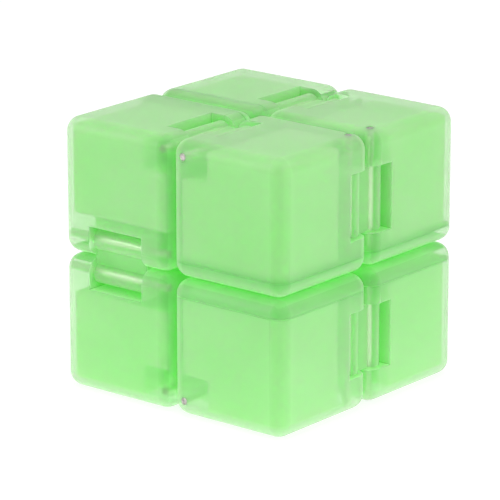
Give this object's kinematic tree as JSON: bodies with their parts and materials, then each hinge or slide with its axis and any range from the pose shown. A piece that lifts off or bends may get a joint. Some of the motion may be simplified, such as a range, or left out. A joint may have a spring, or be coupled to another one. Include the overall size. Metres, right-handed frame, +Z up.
{
  "type": "folding fidget cube",
  "caption": "Palm-sized fidget cube of hollow translucent plastic blocks, joined in a closed ring by two-pin hinges so that it folds open and shut without end.",
  "frame": {"origin": "centre of the closed cube's underside", "axes": "+Z up, +X to the right and -Y to the front, square with the closed cube's faces"},
  "size_m": [0.04, 0.04, 0.04],
  "materials": {
    "shell_plastic": "frosted translucent green, satin",
    "cover_plastic": "frosted translucent green, satin",
    "link_plastic": "frosted translucent green, satin",
    "pin_steel": "cut ends, bright"
  },
  "bodies": {
    "upper_left_front_block": {"upper_left_front_shell": "shell_plastic", "upper_left_front_cover": "cover_plastic", "upper_left_front_long_pin": "pin_steel", "upper_left_front_cross_pin": "pin_steel"},
    "upper_right_front_block": {"upper_right_front_shell": "shell_plastic", "upper_right_front_cover": "cover_plastic", "upper_right_front_long_pin": "pin_steel", "upper_right_front_cross_pin": "pin_steel"},
    "upper_right_back_block": {"upper_right_back_shell": "shell_plastic", "upper_right_back_cover": "cover_plastic", "upper_right_back_long_pin": "pin_steel", "upper_right_back_cross_pin": "pin_steel"},
    "upper_left_back_block": {"upper_left_back_shell": "shell_plastic", "upper_left_back_cover": "cover_plastic", "upper_left_back_long_pin": "pin_steel", "upper_left_back_cross_pin": "pin_steel"},
    "lower_left_back_block": {"lower_left_back_shell": "shell_plastic", "lower_left_back_cover": "cover_plastic", "lower_left_back_long_pin": "pin_steel", "lower_left_back_cross_pin": "pin_steel"},
    "lower_right_back_block": {"lower_right_back_shell": "shell_plastic", "lower_right_back_cover": "cover_plastic", "lower_right_back_long_pin": "pin_steel", "lower_right_back_cross_pin": "pin_steel"},
    "lower_right_front_block": {"lower_right_front_shell": "shell_plastic", "lower_right_front_cover": "cover_plastic", "lower_right_front_long_pin": "pin_steel", "lower_right_front_cross_pin": "pin_steel"},
    "lower_left_front_block": {"lower_left_front_shell": "shell_plastic", "lower_left_front_cover": "cover_plastic", "lower_left_front_long_pin": "pin_steel", "lower_left_front_cross_pin": "pin_steel"},
    "front_left_link": {"front_left_link": "link_plastic"},
    "top_front_link": {"top_front_link": "link_plastic"},
    "right_upper_link": {"right_upper_link": "link_plastic"},
    "top_back_link": {"top_back_link": "link_plastic"},
    "bottom_front_link": {"bottom_front_link": "link_plastic"},
    "right_lower_link": {"right_lower_link": "link_plastic"},
    "bottom_back_link": {"bottom_back_link": "link_plastic"},
    "back_left_link": {"back_left_link": "link_plastic"}
  },
  "joints": [
    {"name": "front_left_first_pin", "type": "hinge", "parent": "lower_left_front_block", "child": "front_left_link", "pos_m": [-0.01008, -0.0177, 0.01755], "axis": [1, 0, 0], "range_deg": [0, 90]},
    {"name": "front_left_second_pin", "type": "hinge", "parent": "front_left_link", "child": "upper_left_front_block", "pos_m": [-0.01008, -0.0177, 0.02245], "axis": [1, 0, 0], "range_deg": [0, 90]},
    {"name": "top_front_first_pin", "type": "hinge", "parent": "upper_left_front_block", "child": "top_front_link", "pos_m": [-0.00245, -0.01008, 0.0377], "axis": [0, -1, 0], "range_deg": [0, 90]},
    {"name": "top_front_second_pin", "type": "hinge", "parent": "top_front_link", "child": "upper_right_front_block", "pos_m": [0.00245, -0.01008, 0.0377], "axis": [0, -1, 0], "range_deg": [0, 90]},
    {"name": "right_upper_first_pin", "type": "hinge", "parent": "upper_right_front_block", "child": "right_upper_link", "pos_m": [0.0177, -0.00245, 0.03008], "axis": [0, 0, -1], "range_deg": [0, 90]},
    {"name": "right_upper_second_pin", "type": "hinge", "parent": "right_upper_link", "child": "upper_right_back_block", "pos_m": [0.0177, 0.00245, 0.03008], "axis": [0, 0, -1], "range_deg": [0, 90]},
    {"name": "top_back_first_pin", "type": "hinge", "parent": "upper_right_back_block", "child": "top_back_link", "pos_m": [0.00245, 0.01008, 0.0377], "axis": [0, 1, 0], "range_deg": [0, 90]},
    {"name": "top_back_second_pin", "type": "hinge", "parent": "top_back_link", "child": "upper_left_back_block", "pos_m": [-0.00245, 0.01008, 0.0377], "axis": [0, 1, 0], "range_deg": [0, 90]},
    {"name": "bottom_front_first_pin", "type": "hinge", "parent": "lower_left_front_block", "child": "bottom_front_link", "pos_m": [-0.00245, -0.01008, 0.0023], "axis": [0, 1, 0], "range_deg": [0, 90]},
    {"name": "bottom_front_second_pin", "type": "hinge", "parent": "bottom_front_link", "child": "lower_right_front_block", "pos_m": [0.00245, -0.01008, 0.0023], "axis": [0, 1, 0], "range_deg": [0, 90]},
    {"name": "right_lower_first_pin", "type": "hinge", "parent": "lower_right_front_block", "child": "right_lower_link", "pos_m": [0.0177, -0.00245, 0.00992], "axis": [0, 0, -1], "range_deg": [0, 90]},
    {"name": "right_lower_second_pin", "type": "hinge", "parent": "right_lower_link", "child": "lower_right_back_block", "pos_m": [0.0177, 0.00245, 0.00992], "axis": [0, 0, -1], "range_deg": [0, 90]},
    {"name": "bottom_back_first_pin", "type": "hinge", "parent": "lower_right_back_block", "child": "bottom_back_link", "pos_m": [0.00245, 0.01008, 0.0023], "axis": [0, -1, 0], "range_deg": [0, 90]},
    {"name": "bottom_back_second_pin", "type": "hinge", "parent": "bottom_back_link", "child": "lower_left_back_block", "pos_m": [-0.00245, 0.01008, 0.0023], "axis": [0, -1, 0], "range_deg": [0, 90]},
    {"name": "back_left_first_pin", "type": "hinge", "parent": "upper_left_back_block", "child": "back_left_link", "pos_m": [-0.01008, 0.0177, 0.02245], "axis": [1, 0, 0], "range_deg": [0, 90]}
  ],
  "couplings": [
    {"joint": "front_left_second_pin", "follows": "front_left_first_pin", "ratio": 1},
    {"joint": "top_front_second_pin", "follows": "top_front_first_pin", "ratio": 1},
    {"joint": "right_upper_second_pin", "follows": "right_upper_first_pin", "ratio": 1},
    {"joint": "top_back_first_pin", "follows": "top_front_first_pin", "ratio": 1},
    {"joint": "top_back_second_pin", "follows": "top_front_first_pin", "ratio": 1},
    {"joint": "bottom_front_second_pin", "follows": "bottom_front_first_pin", "ratio": 1},
    {"joint": "right_lower_first_pin", "follows": "right_upper_first_pin", "ratio": 1},
    {"joint": "right_lower_second_pin", "follows": "right_upper_first_pin", "ratio": 1},
    {"joint": "bottom_back_first_pin", "follows": "bottom_front_first_pin", "ratio": 1},
    {"joint": "bottom_back_second_pin", "follows": "bottom_front_first_pin", "ratio": 1},
    {"joint": "back_left_first_pin", "follows": "front_left_first_pin", "ratio": 1}
  ]
}
